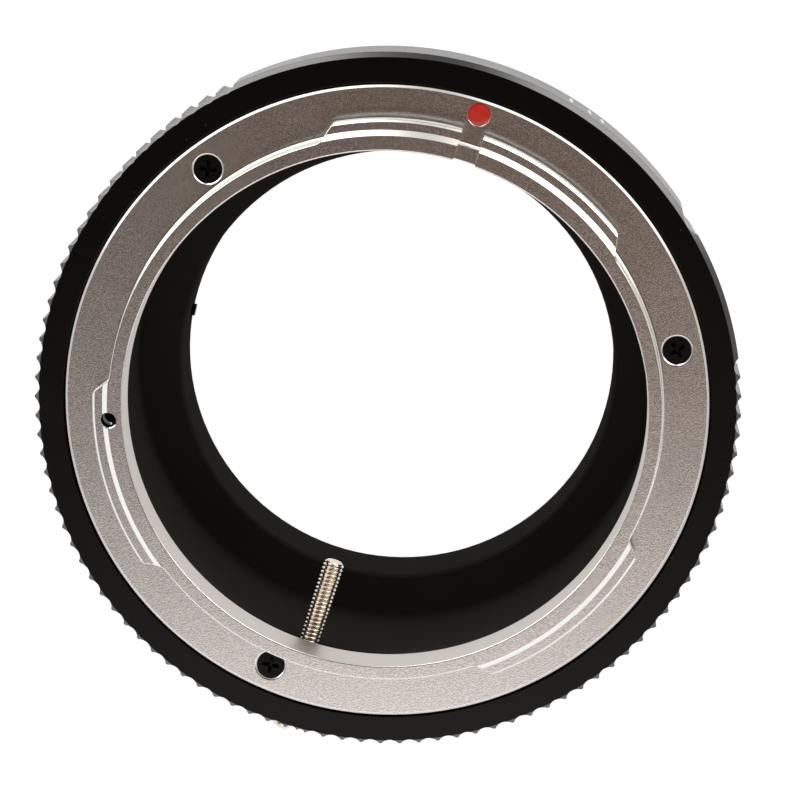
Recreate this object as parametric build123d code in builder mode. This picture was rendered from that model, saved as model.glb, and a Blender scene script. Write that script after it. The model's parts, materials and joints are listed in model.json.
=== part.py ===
from build123d import *
import os
from math import cos, radians, sin

# Lens mount adapter: breech-lock lens side on top, camera bayonet below, turning ring with a stud between.
# Frame: millimetres, +Z along the optical axis towards the lens, Z = 0 at the end of the camera bayonet,
# +Y towards the red index dot of the lens side.
os.makedirs("parts", exist_ok=True)

# Heights along the optical axis
camera_seat_z = 4.5
register_difference = 24.0
lens_seat_z = camera_seat_z + register_difference
collar_height = 2.7
flange_front_z = lens_seat_z - collar_height
flange_thickness = 1.2
flange_back_z = flange_front_z - flange_thickness
bayonet_front_z = 6.9

# Lens side: throat, collar, tabs and flange
throat_radius = 24.0
throat_chamfer = 0.12
collar_top_radius = 25.32
neck_radius = 25.3
tab_radius = 26.8
tab_step = 0.4
tab_top_z = lens_seat_z - tab_step
tab_undercut_height = 1.0
tab_under_z = flange_front_z + tab_undercut_height
tab_edge_chamfer = 0.3
collar_foot_radius = 25.8
tab_overcut = 0.1
neck_tip_divide = (neck_radius + tab_radius) / 2
corner_tolerance = 0.01
flange_radius = 29.66
flange_chamfer = 0.25
tab_tip_fillet = 0.6
tab_root_fillet = 1.2
# Each tab: middle angle, width at its tip and width at its root, in degrees
lens_tabs = [(86.4, 61.5, 68.0), (212.2, 36.2, 41.8), (328.3, 37.4, 42.7)]

# Slot, index dot and small hole of the lens side
index_angle = 90.0
slot_width = 2.05
dot_recess_radius = 1.05
dot_radius = 0.98
dot_depth = 0.3
dot_distance = 28.28
pin_hole_radius = 0.72
pin_hole_distance = 25.3
pin_hole_angle = -160.3
pin_hole_depth = 2.9

# Lens side screws
lens_screw_angles = [29.2, 143.8, 263.9]
lens_screw_distance = 27.15
screw_clearance_radius = 0.85
countersink_radius = 1.48
countersink_angle = 90.0
screw_head_radius = 1.32
screw_shank_radius = 0.8
lens_screw_reach = 1.75

# Barrel
barrel_bore_radius = 25.2
journal_radius = 28.7
ring_shoulder_radius = 31.9
ring_shoulder_length = 2.2
barrel_rear_radius = 30.2
barrel_taper_length = 7.0
barrel_rear_step = 0.4
barrel_rear_z = camera_seat_z + barrel_rear_step
barrel_edge_chamfer = 0.4
bayonet_plate_radius = 28.4
plate_rabbet_radius = 28.5

# Turning ring
ring_crest_radius = 32.55
ring_length = 6.1
ring_front_drop = 0.05
ring_front_z = flange_front_z - ring_front_drop
ring_rear_z = ring_front_z - ring_length
ring_front_chamfer = 0.45
ring_flange_gap = 0.24
ring_running_gap = 0.1
ring_axial_gap = 0.15

# Knurl: grooves with a flat bottom and two slanted sides at an even pitch, left out over the plain stretches
knurl_count = 112
groove_pitch = 360 / knurl_count
groove_radius = 0.86
groove_sides = 8
groove_depth = 0.5
first_groove_angle = 133.74
first_run = 43
second_run = 35
# The two runs meet in a pair of narrow grooves: angle, radius and depth
meeting_grooves = [(271.33, 0.54, 0.45), (272.93, 0.38, 0.35)]

# Scoop and second plain stretch with its back part turned lower
scoop_angle = 49.4
scoop_radius = 2.6
scoop_depth = 0.4
relief_from_angle = 25.0
relief_to_angle = 48.5
relief_depth = 0.3
relief_front_lip = 1.2

# Stud of the turning ring and its travel
stud_radius = 0.97
stud_angle = -90.3
stud_z = 21.5
stud_tip_distance = 16.7
stud_end_distance = 34.0
stud_tip_chamfer = 0.2
stud_end_chamfer = 0.4
stud_travel = 20.0
stud_slot_gap = 0.3

# Camera side bayonet
bayonet_bore_radius = 21.2
bayonet_collar_radius = 22.0
seat_inner_radius = 23.6
seat_relief = 0.4
lug_radius = 22.95
lug_low_z = 1.1
lug_thickness = 1.4
bayonet_edge_chamfer = 0.25
bayonet_bore_chamfer = 0.25
# Each lug: middle angle and width, in degrees
bayonet_lugs = [(30.0, 46.0), (150.0, 46.0), (270.0, 52.0)]
lock_slot_angle = -12.0
lock_slot_distance = 26.0
lock_slot_length = 4.2
lock_slot_width = 2.2
lock_slot_depth = 1.3

# Camera side screws, stop screw and index dot
camera_screw_angles = [55.0, 125.0, 235.0, 305.0]
camera_screw_distance = 26.7
camera_screw_reach = 2.6
stop_angle = 185.0
stop_z = 1.9
stop_radius = 0.6
stop_tip_distance = 20.8
stop_head_radius = 0.75
stop_head_distance = 22.9
camera_dot_angle = 60.0
camera_dot_z = 7.6
camera_dot_radius = 0.9
camera_dot_depth = 0.3
camera_dot_sink = 0.02

cut_margin = 1.0


def radial_plane(angle, distance, height):
    """Plane at a distance from the axis whose normal points away from the axis at the given angle."""
    turn = radians(angle)
    outward = (cos(turn), sin(turn), 0)
    middle = (distance * outward[0], distance * outward[1], height)
    return Plane(origin=middle, z_dir=outward, x_dir=(0, 0, 1))


def on_circle(distance, angle):
    """Point in the XY plane at a distance and an angle."""
    return (distance * cos(radians(angle)), distance * sin(radians(angle)))


def sector_outline(inner_radius, outer_radius, middle, inner_width, outer_width):
    """Closed outline of a ring sector with slanted ends, for use inside a BuildLine block."""
    inner_start = middle - inner_width / 2
    inner_end = middle + inner_width / 2
    outer_start = middle - outer_width / 2
    outer_end = middle + outer_width / 2
    CenterArc((0, 0), outer_radius, outer_start, outer_width)
    CenterArc((0, 0), inner_radius, inner_start, inner_width)
    Line(on_circle(inner_radius, inner_start), on_circle(outer_radius, outer_start))
    Line(on_circle(inner_radius, inner_end), on_circle(outer_radius, outer_end))


def from_axis(vertex):
    """Distance of a vertex from the optical axis."""
    return Vector(vertex.X, vertex.Y, 0).length


# Lens mount ring: the tab level is a turned profile cut to the outline of neck and tabs
with BuildPart() as tab_level:
    with BuildSketch(Plane.XZ):
        with BuildLine():
            overcut_radius = tab_radius + tab_overcut
            chamfer_low_z = tab_top_z - tab_edge_chamfer - tab_overcut
            Polyline(
                (throat_radius, tab_under_z),
                (overcut_radius, tab_under_z),
                (overcut_radius, chamfer_low_z),
                (tab_radius - tab_edge_chamfer, tab_top_z),
                (collar_foot_radius, tab_top_z),
                (collar_top_radius, lens_seat_z),
                (throat_radius + throat_chamfer, lens_seat_z),
                (throat_radius, lens_seat_z - throat_chamfer),
                close=True,
            )
        make_face()
    revolve(axis=Axis.Z)
    with BuildSketch(Plane.XY.offset(tab_under_z)) as tab_plan:
        Circle(neck_radius)
        for tab_middle, tip_width, root_width in lens_tabs:
            with BuildLine():
                sector_outline(neck_radius, tab_radius, tab_middle, root_width, tip_width)
            make_face()
        tip_corners = tab_plan.vertices().filter_by(lambda v: from_axis(v) > neck_tip_divide)
        fillet(tip_corners, tab_tip_fillet)
        neck_corners = tab_plan.vertices()
        root_corners = neck_corners.filter_by(lambda v: abs(from_axis(v) - neck_radius) < corner_tolerance)
        fillet(root_corners, tab_root_fillet)
    extrude(amount=lens_seat_z - tab_under_z, mode=Mode.INTERSECT)

with BuildPart() as lens_mount_ring:
    with BuildSketch(Plane.XZ):
        with BuildLine():
            Polyline(
                (throat_radius, flange_back_z),
                (flange_radius, flange_back_z),
                (flange_radius, flange_front_z - flange_chamfer),
                (flange_radius - flange_chamfer, flange_front_z),
                (neck_radius, flange_front_z),
                (neck_radius, tab_under_z),
                (throat_radius, tab_under_z),
                close=True,
            )
        make_face()
    revolve(axis=Axis.Z)
    add(tab_level.part)
    slot_reach = flange_radius - throat_radius
    slot_middle = throat_radius + slot_reach / 2 - cut_margin
    with Locations((0, slot_middle, tab_under_z)):
        Box(
            slot_width,
            slot_reach,
            lens_seat_z - tab_under_z + cut_margin,
            align=(Align.CENTER, Align.CENTER, Align.MIN),
            mode=Mode.SUBTRACT,
        )
    with BuildSketch(Plane.XY.offset(flange_front_z)):
        with Locations(on_circle(dot_distance, index_angle)):
            Circle(dot_recess_radius)
    extrude(amount=-dot_depth, mode=Mode.SUBTRACT)
    with BuildSketch(Plane.XY.offset(lens_seat_z)):
        with Locations(on_circle(pin_hole_distance, pin_hole_angle)):
            Circle(pin_hole_radius)
    extrude(amount=-pin_hole_depth, mode=Mode.SUBTRACT)
    with Locations(Plane.XY.offset(flange_front_z)):
        with Locations(*[on_circle(lens_screw_distance, angle) for angle in lens_screw_angles]):
            CounterSinkHole(screw_clearance_radius, countersink_radius, flange_thickness, countersink_angle)
lens_mount_ring.part.label = "lens_mount_ring"
export_step(lens_mount_ring.part, "parts/lens_mount_ring.step")

with BuildPart() as lens_index_dot:
    with BuildSketch(Plane.XY.offset(flange_front_z - dot_depth)):
        with Locations(on_circle(dot_distance, index_angle)):
            Circle(dot_radius)
    extrude(amount=dot_depth)
lens_index_dot.part.label = "lens_index_dot"
export_step(lens_index_dot.part, "parts/lens_index_dot.step")

# A countersunk head sits below its face because it is narrower than the countersink
head_sink = countersink_radius - screw_head_radius
cone_end = countersink_radius - screw_shank_radius


def screw_profile(tip_depth):
    """Half section of a countersunk screw below a face at height zero, for use inside a BuildLine block."""
    Polyline(
        (0, -head_sink),
        (screw_head_radius, -head_sink),
        (screw_shank_radius, -cone_end),
        (screw_shank_radius, -tip_depth),
        (0, -tip_depth),
        close=True,
    )


with BuildPart() as lens_screw:
    with BuildSketch(Plane.XZ):
        with BuildLine():
            screw_profile(flange_thickness + lens_screw_reach)
        make_face()
    revolve(axis=Axis.Z)

with BuildPart() as lens_mount_screws:
    for angle in lens_screw_angles:
        with Locations((*on_circle(lens_screw_distance, angle), flange_front_z)):
            add(lens_screw.part)
lens_mount_screws.part.label = "lens_mount_screws"
export_step(lens_mount_screws.part, "parts/lens_mount_screws.step")

# Barrel: a tube with the ring's journal in front, a shoulder, a taper and a rabbet for the bayonet plate
shoulder_z = ring_rear_z - ring_axial_gap
taper_top_z = shoulder_z - ring_shoulder_length
taper_low_z = taper_top_z - barrel_taper_length
slot_half_height = stud_radius + stud_slot_gap
wall_cut_length = journal_radius - barrel_bore_radius + 2 * cut_margin
with BuildPart() as main_barrel:
    with BuildSketch(Plane.XZ):
        with BuildLine():
            Polyline(
                (barrel_bore_radius, bayonet_front_z),
                (barrel_bore_radius, flange_back_z),
                (journal_radius, flange_back_z),
                (journal_radius, shoulder_z),
                (ring_shoulder_radius, shoulder_z),
                (ring_shoulder_radius, taper_top_z),
                (barrel_rear_radius, taper_low_z),
                (barrel_rear_radius, barrel_rear_z + barrel_edge_chamfer),
                (barrel_rear_radius - barrel_edge_chamfer, barrel_rear_z),
                (plate_rabbet_radius, barrel_rear_z),
                (plate_rabbet_radius, bayonet_front_z),
                close=True,
            )
        make_face()
    revolve(axis=Axis.Z)
    with BuildSketch(Plane.XY.offset(stud_z - slot_half_height)):
        with BuildLine():
            slot_inner = barrel_bore_radius - cut_margin
            slot_outer = journal_radius + cut_margin
            sector_outline(slot_inner, slot_outer, stud_angle, 2 * stud_travel, 2 * stud_travel)
        make_face()
    extrude(amount=2 * slot_half_height, mode=Mode.SUBTRACT)
    for slot_end in (stud_angle - stud_travel, stud_angle + stud_travel):
        with BuildSketch(radial_plane(slot_end, barrel_bore_radius - cut_margin, stud_z)):
            Circle(slot_half_height)
        extrude(amount=wall_cut_length, mode=Mode.SUBTRACT)
    with BuildSketch(Plane.XY.offset(flange_back_z)):
        with Locations(*[on_circle(lens_screw_distance, angle) for angle in lens_screw_angles]):
            Circle(screw_shank_radius)
    extrude(amount=-lens_screw_reach, mode=Mode.SUBTRACT)
    with BuildSketch(Plane.XY.offset(bayonet_front_z)):
        with Locations(*[on_circle(camera_screw_distance, angle) for angle in camera_screw_angles]):
            Circle(screw_shank_radius)
    extrude(amount=camera_screw_reach, mode=Mode.SUBTRACT)
    with BuildSketch(radial_plane(camera_dot_angle, barrel_rear_radius - camera_dot_depth, camera_dot_z)):
        Circle(camera_dot_radius)
    extrude(amount=camera_dot_depth + cut_margin, mode=Mode.SUBTRACT)
main_barrel.part.label = "main_barrel"
export_step(main_barrel.part, "parts/main_barrel.step")

with BuildPart() as camera_index_dot:
    with BuildSketch(radial_plane(camera_dot_angle, barrel_rear_radius - camera_dot_depth, camera_dot_z)):
        Circle(camera_dot_radius)
    extrude(amount=camera_dot_depth - camera_dot_sink)
camera_index_dot.part.label = "camera_index_dot"
export_step(camera_index_dot.part, "parts/camera_index_dot.step")

# Turning ring: a turned section, then the knurl, the scoop, the relief and the stud's hole
ring_bore_radius = journal_radius + ring_running_gap
ring_front_bore_radius = flange_radius + ring_flange_gap
ring_lip_z = flange_back_z - ring_axial_gap
groove_distance = ring_crest_radius + groove_radius - groove_depth
with BuildPart() as aperture_ring:
    with BuildSketch(Plane.XZ):
        with BuildLine():
            Polyline(
                (ring_bore_radius, ring_rear_z),
                (ring_crest_radius, ring_rear_z),
                (ring_crest_radius, ring_front_z - ring_front_chamfer),
                (ring_crest_radius - ring_front_chamfer, ring_front_z),
                (ring_front_bore_radius, ring_front_z),
                (ring_front_bore_radius, ring_lip_z),
                (ring_bore_radius, ring_lip_z),
                close=True,
            )
        make_face()
    revolve(axis=Axis.Z)
    second_start = first_groove_angle + (first_run + 1) * groove_pitch
    with BuildSketch(Plane.XY.offset(ring_rear_z - cut_margin)):
        for run_start, run_count in ((first_groove_angle, first_run), (second_start, second_run)):
            run_angle = (run_count - 1) * groove_pitch
            with PolarLocations(groove_distance, run_count, run_start, run_angle, endpoint=True):
                RegularPolygon(groove_radius, groove_sides, major_radius=False, rotation=180 / groove_sides)
        for angle, radius, depth in meeting_grooves:
            with Locations(on_circle(ring_crest_radius + radius - depth, angle)):
                Circle(radius)
        with Locations(on_circle(ring_crest_radius + scoop_radius - scoop_depth, scoop_angle)):
            Circle(scoop_radius)
    extrude(amount=ring_length + 2 * cut_margin, mode=Mode.SUBTRACT)
    relief_middle = (relief_from_angle + relief_to_angle) / 2
    relief_width = relief_to_angle - relief_from_angle
    with BuildSketch(Plane.XY.offset(ring_rear_z - cut_margin)):
        with BuildLine():
            relief_floor = ring_crest_radius - relief_depth
            relief_edge = ring_crest_radius + cut_margin
            sector_outline(relief_floor, relief_edge, relief_middle, relief_width, relief_width)
        make_face()
    extrude(amount=ring_length - relief_front_lip + cut_margin, mode=Mode.SUBTRACT)
    with BuildSketch(radial_plane(stud_angle, ring_bore_radius - cut_margin, stud_z)):
        Circle(stud_radius)
    extrude(amount=ring_crest_radius - ring_bore_radius + 2 * cut_margin, mode=Mode.SUBTRACT)
aperture_ring.part.label = "aperture_ring"
export_step(aperture_ring.part, "parts/aperture_ring.step")

with BuildPart() as aperture_pin:
    with BuildSketch(radial_plane(stud_angle, stud_tip_distance, stud_z)):
        Circle(stud_radius)
    extrude(amount=stud_end_distance - stud_tip_distance)
    stud_axis = Axis((0, 0, stud_z), (*on_circle(1, stud_angle), 0))
    chamfer(aperture_pin.faces().sort_by(stud_axis)[0].edges(), stud_tip_chamfer)
    chamfer(aperture_pin.faces().sort_by(stud_axis)[-1].edges(), stud_end_chamfer)
aperture_pin.part.label = "aperture_pin"
export_step(aperture_pin.part, "parts/aperture_pin.step")

# Camera bayonet: plate with seat land, collar with three lugs, screw holes and lock slot
relief_z = camera_seat_z + seat_relief
with BuildPart() as camera_bayonet:
    with BuildSketch(Plane.XZ):
        with BuildLine():
            Polyline(
                (bayonet_bore_radius, 0),
                (bayonet_collar_radius - bayonet_edge_chamfer, 0),
                (bayonet_collar_radius, bayonet_edge_chamfer),
                (bayonet_collar_radius, relief_z),
                (seat_inner_radius, relief_z),
                (seat_inner_radius, camera_seat_z),
                (bayonet_plate_radius, camera_seat_z),
                (bayonet_plate_radius, bayonet_front_z),
                (bayonet_bore_radius + bayonet_bore_chamfer, bayonet_front_z),
                (bayonet_bore_radius, bayonet_front_z - bayonet_bore_chamfer),
                close=True,
            )
        make_face()
    revolve(axis=Axis.Z)
    with BuildSketch(Plane.XY.offset(lug_low_z)):
        lug_root = (bayonet_bore_radius + bayonet_collar_radius) / 2
        for lug_middle, lug_width in bayonet_lugs:
            with BuildLine():
                sector_outline(lug_root, lug_radius, lug_middle, lug_width, lug_width)
            make_face()
    extrude(amount=lug_thickness)
    with BuildSketch(radial_plane(stop_angle, bayonet_bore_radius - cut_margin, stop_z)):
        Circle(stop_radius)
    extrude(amount=2 * cut_margin, mode=Mode.SUBTRACT)
    seat_plane = Plane(origin=(0, 0, camera_seat_z), x_dir=(1, 0, 0), z_dir=(0, 0, -1))
    plate_thickness = bayonet_front_z - camera_seat_z
    with Locations(seat_plane):
        with Locations(*[on_circle(camera_screw_distance, -angle) for angle in camera_screw_angles]):
            CounterSinkHole(screw_clearance_radius, countersink_radius, plate_thickness, countersink_angle)
    with BuildSketch(Plane.XY.offset(camera_seat_z)):
        lock_slot_place = (*on_circle(lock_slot_distance, lock_slot_angle), 0)
        with Locations(Location(lock_slot_place, (0, 0, lock_slot_angle + 90))):
            SlotOverall(lock_slot_length, lock_slot_width)
    extrude(amount=lock_slot_depth, mode=Mode.SUBTRACT)
camera_bayonet.part.label = "camera_bayonet"
export_step(camera_bayonet.part, "parts/camera_bayonet.step")

with BuildPart() as camera_screw:
    with BuildSketch(Plane.XZ):
        with BuildLine():
            screw_profile(plate_thickness + camera_screw_reach)
        make_face()
    revolve(axis=Axis.Z)

with BuildPart() as camera_mount_screws:
    for angle in camera_screw_angles:
        with Locations(Location((*on_circle(camera_screw_distance, angle), camera_seat_z), (180, 0, 0))):
            add(camera_screw.part)
camera_mount_screws.part.label = "camera_mount_screws"
export_step(camera_mount_screws.part, "parts/camera_mount_screws.step")

with BuildPart() as bayonet_stop_screw:
    with BuildSketch(radial_plane(stop_angle, stop_tip_distance, stop_z)):
        Circle(stop_radius)
    extrude(amount=bayonet_collar_radius - stop_tip_distance)
    with BuildSketch(radial_plane(stop_angle, bayonet_collar_radius, stop_z)):
        Circle(stop_head_radius)
    extrude(amount=stop_head_distance - bayonet_collar_radius)
bayonet_stop_screw.part.label = "bayonet_stop_screw"
export_step(bayonet_stop_screw.part, "parts/bayonet_stop_screw.step")
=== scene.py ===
import json
from math import cos, radians, sin

import bmesh
import bpy
import numpy as np
from mathutils import Matrix, Vector


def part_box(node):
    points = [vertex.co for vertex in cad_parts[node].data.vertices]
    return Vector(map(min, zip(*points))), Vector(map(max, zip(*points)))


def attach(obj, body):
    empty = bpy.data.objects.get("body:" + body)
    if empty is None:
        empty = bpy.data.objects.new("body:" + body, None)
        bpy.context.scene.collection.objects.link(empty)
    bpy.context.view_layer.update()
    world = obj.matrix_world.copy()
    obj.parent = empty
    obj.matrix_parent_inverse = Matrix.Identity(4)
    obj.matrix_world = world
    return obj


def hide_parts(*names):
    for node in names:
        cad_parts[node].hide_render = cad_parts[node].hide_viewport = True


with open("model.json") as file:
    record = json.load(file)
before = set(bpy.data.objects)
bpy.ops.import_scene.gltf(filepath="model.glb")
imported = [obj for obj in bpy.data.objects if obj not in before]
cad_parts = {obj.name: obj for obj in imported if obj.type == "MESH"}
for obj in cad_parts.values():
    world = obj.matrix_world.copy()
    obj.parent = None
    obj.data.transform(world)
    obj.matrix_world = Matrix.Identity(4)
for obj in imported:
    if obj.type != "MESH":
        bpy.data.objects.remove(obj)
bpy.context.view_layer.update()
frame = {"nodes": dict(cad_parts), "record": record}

bl_info = {
    "name": "Lens mount adapter",
    "version": (1, 0, 0),
    "blender": (4, 5, 0),
    "location": "View3D > Sidebar > Adapter",
    "description": "Finishes the solid model of a lens mount adapter: chrome, black anodising, threads and light",
    "category": "Object",
}

MM = 0.001

# Sizes that the solid model fixes, read from its boxes
LENS_SEAT_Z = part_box("lens_mount_ring")[1].z
FLANGE_BACK_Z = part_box("lens_mount_ring")[0].z
FLANGE_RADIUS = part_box("lens_mount_ring")[1].x
RING_REAR_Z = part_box("aperture_ring")[0].z
RING_FRONT_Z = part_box("aperture_ring")[1].z
RING_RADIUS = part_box("aperture_ring")[1].x
STUD_Z = (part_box("aperture_pin")[0].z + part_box("aperture_pin")[1].z) / 2
STUD_RADIUS = (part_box("aperture_pin")[1].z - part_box("aperture_pin")[0].z) / 2
THROAT_RADIUS = 24.0 * MM
MOUNTS = {mount["name"]: Vector(mount["pos_m"]) for mount in frame["record"]["mounts"]}
CAMERA_SEAT_Z = MOUNTS["camera_seat"].z
BAYONET_FRONT_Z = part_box("camera_bayonet")[1].z
RING_TICKS = (70.5, 73.0, 76.5)


# Properties


class ChromeSettings(bpy.types.PropertyGroup):
    """The blasted chrome of the lens side"""

    colour: bpy.props.FloatVectorProperty(
        name="Colour", description="Reflected colour of the plating", subtype="COLOR", size=4,
        min=0.0, max=1.0, default=(0.69, 0.686, 0.672, 1.0))
    roughness: bpy.props.FloatProperty(
        name="Roughness", description="Roughness of the satin faces", default=0.2, min=0.0, max=1.0,
        subtype="FACTOR")
    polish: bpy.props.FloatProperty(
        name="Polish", description="Roughness of the turned bright edges", default=0.2, min=0.0, max=1.0,
        subtype="FACTOR")
    wall: bpy.props.FloatProperty(
        name="Wall", description="Roughness of the blasted walls of collar and tabs", default=0.6, min=0.0, max=1.0,
        subtype="FACTOR")
    grain: bpy.props.FloatProperty(
        name="Grain", description="Size of the blasting's dimples", default=0.105 * MM, unit="LENGTH", precision=6)
    relief: bpy.props.FloatProperty(
        name="Relief", description="Depth of the blasting's dimples", default=0.005 * MM, unit="LENGTH", precision=6)
    edge: bpy.props.FloatProperty(
        name="Edge", description="Width of the broken edges", default=0.075 * MM, unit="LENGTH", precision=6)


class RingSettings(bpy.types.PropertyGroup):
    """The turning ring's knurl"""

    colour: bpy.props.FloatVectorProperty(
        name="Colour", description="Colour of the black anodising", subtype="COLOR", size=4,
        min=0.0, max=1.0, default=(0.0004, 0.0004, 0.0003, 1.0))
    positions: bpy.props.IntProperty(
        name="Positions", description="Knurl positions on the whole round", default=112, min=12)
    groove: bpy.props.FloatProperty(
        name="Groove", description="Radius of a knurl groove", default=0.9 * MM, unit="LENGTH", precision=6)
    depth: bpy.props.FloatProperty(
        name="Depth", description="Depth of a knurl groove", default=0.5 * MM, unit="LENGTH", precision=6)


class StudSettings(bpy.types.PropertyGroup):
    """The threaded stud"""

    colour: bpy.props.FloatVectorProperty(
        name="Colour", description="Reflected colour of the nickel", subtype="COLOR", size=4,
        min=0.0, max=1.0, default=(0.74, 0.67, 0.58, 1.0))
    pitch: bpy.props.FloatProperty(
        name="Pitch", description="Advance of the thread in one turn", default=0.4 * MM, unit="LENGTH", precision=6)
    thread: bpy.props.FloatProperty(
        name="Thread", description="Depth of the thread", default=0.21 * MM, unit="LENGTH", precision=6)


class ScrewSettings(bpy.types.PropertyGroup):
    """The countersunk screws"""

    colour: bpy.props.FloatVectorProperty(
        name="Colour", description="Colour of the black oxide", subtype="COLOR", size=4,
        min=0.0, max=1.0, default=(0.001, 0.001, 0.001, 1.0))
    recess: bpy.props.FloatProperty(
        name="Recess", description="Length of the cross recess", default=1.64 * MM, unit="LENGTH", precision=6)
    arm: bpy.props.FloatProperty(
        name="Arm", description="Width of an arm of the cross", default=0.35 * MM, unit="LENGTH", precision=6)


class DotSettings(bpy.types.PropertyGroup):
    """The enamel index dots"""

    lens_colour: bpy.props.FloatVectorProperty(
        name="Lens side", description="Enamel of the lens side's dot", subtype="COLOR", size=4,
        min=0.0, max=1.0, default=(0.56, 0.018, 0.008, 1.0))
    camera_colour: bpy.props.FloatVectorProperty(
        name="Camera side", description="Enamel of the camera side's dot", subtype="COLOR", size=4,
        min=0.0, max=1.0, default=(0.8, 0.8, 0.77, 1.0))


class BarrelSettings(bpy.types.PropertyGroup):
    """The black barrel"""

    outside: bpy.props.FloatVectorProperty(
        name="Outside", description="Colour of the anodised outside", subtype="COLOR", size=4,
        min=0.0, max=1.0, default=(0.004, 0.004, 0.004, 1.0))
    inside: bpy.props.FloatVectorProperty(
        name="Inside", description="Colour of the matte paint inside", subtype="COLOR", size=4,
        min=0.0, max=1.0, default=(0.027, 0.026, 0.023, 1.0))
    # Lip is painted light: the bore's paint drawn lighter and browner beside the chrome, where light falls in.
    lip: bpy.props.FloatVectorProperty(
        name="Lip", description="Colour of the same paint beside the chrome, where it is dusty", subtype="COLOR", size=4,
        min=0.0, max=1.0, default=(0.16, 0.138, 0.122, 1.0))


class StageSettings(bpy.types.PropertyGroup):
    """Floor, light and camera"""

    distance: bpy.props.FloatProperty(
        name="Distance", description="Camera to the aim point", default=279.785 * MM, unit="LENGTH")
    azimuth: bpy.props.FloatProperty(
        name="Azimuth", description="Camera's side, from +X towards +Y", default=radians(93.116), subtype="ANGLE")
    elevation: bpy.props.FloatProperty(
        name="Elevation", description="Camera's height angle", default=radians(77.433), subtype="ANGLE")
    roll: bpy.props.FloatProperty(
        name="Roll", description="Turn of the picture", default=radians(-165.4), subtype="ANGLE")
    aim: bpy.props.FloatVectorProperty(
        name="Aim", description="Point in the middle of the picture", subtype="TRANSLATION",
        default=(1.0673 * MM, 1.048 * MM, 25.8 * MM))
    focal: bpy.props.FloatProperty(
        name="Focal length", description="Lens of the camera, in millimetres", default=137.204, subtype="DISTANCE_CAMERA")
    sweep: bpy.props.FloatVectorProperty(
        name="Sweep", description="Light of the sweep above the horizon", subtype="COLOR", size=4,
        default=(0.78, 0.76, 0.73, 1.0))
    window: bpy.props.FloatVectorProperty(
        name="Window", description="Light of the large soft window opposite the camera", subtype="COLOR", size=4,
        default=(2.08, 1.96, 1.92, 1.0))
    dark: bpy.props.FloatVectorProperty(
        name="Dark", description="Light of the unlit room above and behind the camera", subtype="COLOR", size=4,
        default=(0.115, 0.088, 0.072, 1.0))
    warm: bpy.props.FloatVectorProperty(
        name="Warm", description="Light of the same room on its warmer side", subtype="COLOR", size=4,
        default=(0.137, 0.07, 0.041, 1.0))
    horizon: bpy.props.FloatVectorProperty(
        name="Horizon", description="Light of the sweep at the horizon on the far side", subtype="COLOR", size=4,
        default=(1.35, 1.33, 1.3, 1.0))
    strips: bpy.props.FloatVectorProperty(
        name="Strips", description="Light of the two strip lights on the camera's side, near the floor",
        subtype="COLOR", size=4, default=(8.5, 8.2, 7.8, 1.0))
    fill: bpy.props.FloatVectorProperty(
        name="Fill", description="Light of the same two strips higher up", subtype="COLOR", size=4,
        default=(2.4, 2.33, 2.2, 1.0))


# Shader helpers


class Wire:
    """An output socket. Arithmetic on wires and numbers adds Math nodes to the tree."""

    def __init__(self, paint, socket):
        self.paint = paint
        self.socket = socket

    def maths(self, operation, first, second=0.0):
        return self.paint.add("ShaderNodeMath", {0: first, 1: second}, operation=operation)

    def __add__(self, other):
        return self.maths("ADD", self, other)

    def __radd__(self, other):
        return self.maths("ADD", other, self)

    def __sub__(self, other):
        return self.maths("SUBTRACT", self, other)

    def __rsub__(self, other):
        return self.maths("SUBTRACT", other, self)

    def __mul__(self, other):
        return self.maths("MULTIPLY", self, other)

    def __rmul__(self, other):
        return self.maths("MULTIPLY", other, self)

    def __truediv__(self, other):
        return self.maths("DIVIDE", self, other)

    def __rtruediv__(self, other):
        return self.maths("DIVIDE", other, self)

    def __pow__(self, other):
        return self.maths("POWER", self, other)

    def __gt__(self, other):
        return self.maths("GREATER_THAN", self, other)

    def __lt__(self, other):
        return self.maths("LESS_THAN", self, other)

    def band(self, low, high, soft):
        """1 between low and high, 0 outside them, with soft edges of the given width."""
        return self.rise(low - soft / 2, low + soft / 2) * (1.0 - self.rise(high - soft / 2, high + soft / 2))

    def rise(self, low, high):
        """0 below low, 1 above high, and a smooth step between them."""
        inputs = {"Value": self, "From Min": low, "From Max": high}
        return self.paint.add("ShaderNodeMapRange", inputs, interpolation_type="SMOOTHSTEP")


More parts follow.
